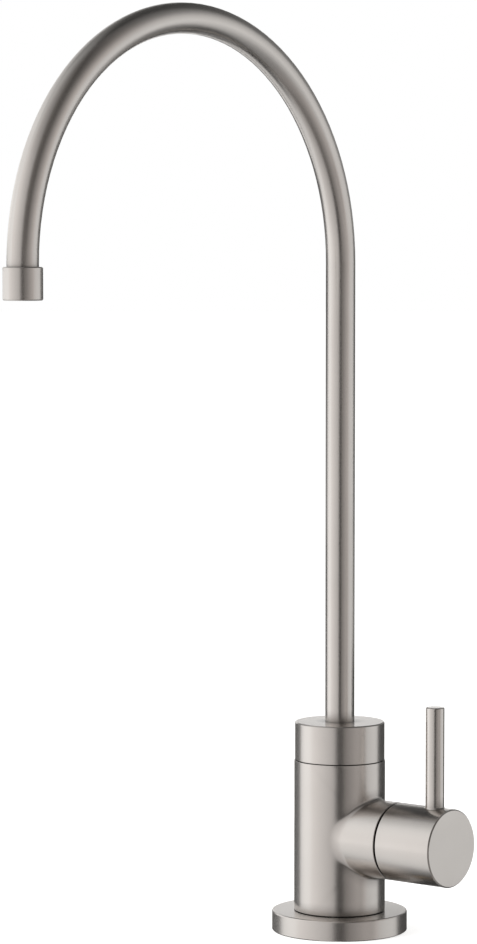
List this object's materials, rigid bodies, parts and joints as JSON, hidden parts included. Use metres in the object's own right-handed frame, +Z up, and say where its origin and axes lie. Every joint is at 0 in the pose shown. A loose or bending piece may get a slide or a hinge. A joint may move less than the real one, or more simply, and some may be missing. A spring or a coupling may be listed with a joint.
{
  "type": "drinking water filter tap",
  "caption": "Single-lever drinking water tap: swivel gooseneck spout on a cylindrical body, quarter-turn side lever with a ceramic disc valve, and a threaded shank through the worktop.",
  "frame": {"origin": "centre of the base flange's underside, on the top of the worktop", "axes": "+Z up, -Y the way the spout points at rest, +X the side that the lever is on"},
  "size_m": [0.071, 0.1864, 0.3729],
  "materials": {
    "satin_steel": "satin",
    "plain_steel": "satin",
    "plain_brass": "satin",
    "seal_rubber": "matte",
    "white_ceramic": "matte",
    "white_nylon": "matte"
  },
  "bodies": {
    "base": {"base_flange": "satin_steel", "flange_gasket": "seal_rubber", "valve_body": "satin_steel", "threaded_shank": "plain_brass", "shank_seal": "seal_rubber", "rubber_washer": "seal_rubber", "steel_washer": "plain_steel", "mounting_nut": "plain_brass", "cartridge_housing": "plain_brass", "housing_ring": "seal_rubber", "seat_seal": "seal_rubber", "fixed_disc": "white_ceramic", "gland_nut": "plain_brass", "glide_ring": "white_nylon", "retaining_ring": "plain_steel"},
    "handle": {"lever_hub": "satin_steel", "lever_rod": "satin_steel", "grub_screw": "plain_steel", "spindle": "plain_brass", "spindle_ring": "seal_rubber", "spindle_clip": "plain_steel", "turning_disc": "white_ceramic"},
    "spout": {"spout_tube": "satin_steel", "swivel_collar": "satin_steel", "spout_spigot": "plain_brass", "spigot_ring_low": "seal_rubber", "spigot_ring_high": "seal_rubber", "outlet_sleeve": "satin_steel", "flow_straightener": "white_nylon", "outlet_washer": "seal_rubber"}
  },
  "joints": [
    {"name": "spout_swivel", "type": "hinge", "parent": "base", "child": "spout", "pos_m": [0, 0, 0.059], "axis": [0, 0, 1], "continuous": true},
    {"name": "lever_turn", "type": "hinge", "parent": "base", "child": "handle", "pos_m": [0, 0, 0.033], "axis": [1, 0, 0], "range_deg": [0, 90]}
  ]
}
